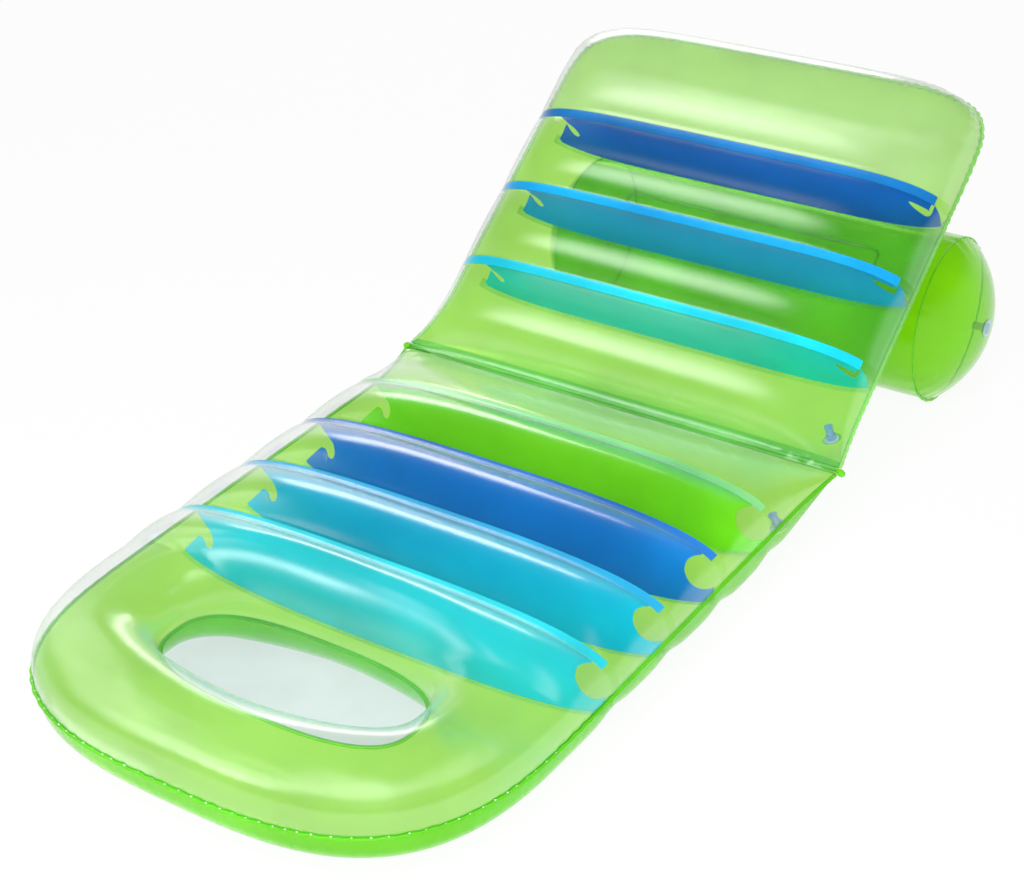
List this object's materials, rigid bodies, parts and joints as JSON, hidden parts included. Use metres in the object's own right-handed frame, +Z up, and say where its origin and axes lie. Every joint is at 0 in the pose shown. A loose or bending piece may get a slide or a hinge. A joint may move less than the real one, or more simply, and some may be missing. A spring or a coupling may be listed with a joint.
{
  "type": "pool lounger",
  "caption": "Inflatable pool lounger: a tubed seat mat with an open foot well, a back mat that folds up on a welded pillow, and push-in air valves.",
  "frame": {"origin": "on the floor under the middle tube of the seat mat, half way across", "axes": "+X to the right of someone who lies on it with the head up, +Y from the foot end to the back, +Z up"},
  "size_m": [0.7373, 1.4262, 0.4421],
  "materials": {
    "clear_film": "smooth clear soft film",
    "green_film": "smooth translucent green soft film",
    "pillow_film": "smooth translucent green soft film",
    "weld": "two films melted together",
    "web_green": "smooth green soft film",
    "web_dark_blue": "smooth dark blue soft film",
    "web_blue": "smooth blue soft film",
    "web_turquoise": "smooth turquoise soft film",
    "back_blue": "smooth blue soft film",
    "back_turquoise": "smooth turquoise green soft film",
    "valve": "soft moulded blue-grey plastic"
  },
  "bodies": {
    "seat": {"seat_top_sheet": "clear_film", "seat_bottom_sheet": "green_film", "seat_web_green": "web_green", "seat_web_dark_blue": "web_dark_blue", "seat_web_blue": "web_blue", "seat_web_turquoise": "web_turquoise", "fold_bead": "weld", "seat_valve_base": "valve"},
    "back": {"back_top_sheet": "clear_film", "back_bottom_sheet": "green_film", "back_web_turquoise": "back_turquoise", "back_web_blue": "back_blue", "back_web_dark_blue": "web_dark_blue", "pillow_wall": "pillow_film", "pillow_end_left": "pillow_film", "pillow_end_right": "pillow_film", "pillow_weld_patch": "weld", "back_valve_base": "valve", "pillow_valve_base": "valve"},
    "seat_stem": {"seat_valve_stem": "valve"},
    "seat_plug": {"seat_valve_plug": "valve"},
    "back_stem": {"back_valve_stem": "valve"},
    "back_plug": {"back_valve_plug": "valve"},
    "pillow_stem": {"pillow_valve_stem": "valve"},
    "pillow_plug": {"pillow_valve_plug": "valve"}
  },
  "joints": [
    {"name": "back_fold", "type": "hinge", "parent": "seat", "child": "back", "pos_m": [0, 0.33945, 0.08145], "axis": [1, 0, 0], "range_deg": [-35.4, 35]},
    {"name": "seat_stem_slide", "type": "slide", "parent": "seat", "child": "seat_stem", "axis": [0.3676, 0.2261, -0.9021], "range_m": [0, 0.012]},
    {"name": "seat_plug_slide", "type": "slide", "parent": "seat_stem", "child": "seat_plug", "axis": [0.3676, 0.2261, -0.9021], "range_m": [0, 0.01]},
    {"name": "back_stem_slide", "type": "slide", "parent": "back", "child": "back_stem", "axis": [0.2718, 0.1021, -0.9569], "range_m": [0, 0.012]},
    {"name": "back_plug_slide", "type": "slide", "parent": "back_stem", "child": "back_plug", "axis": [0.2718, 0.1021, -0.9569], "range_m": [0, 0.01]},
    {"name": "pillow_stem_slide", "type": "slide", "parent": "back", "child": "pillow_stem", "axis": [1, 0, 0], "range_m": [0, 0.012]},
    {"name": "pillow_plug_slide", "type": "slide", "parent": "pillow_stem", "child": "pillow_plug", "axis": [1, 0, 0], "range_m": [0, 0.01]}
  ]
}
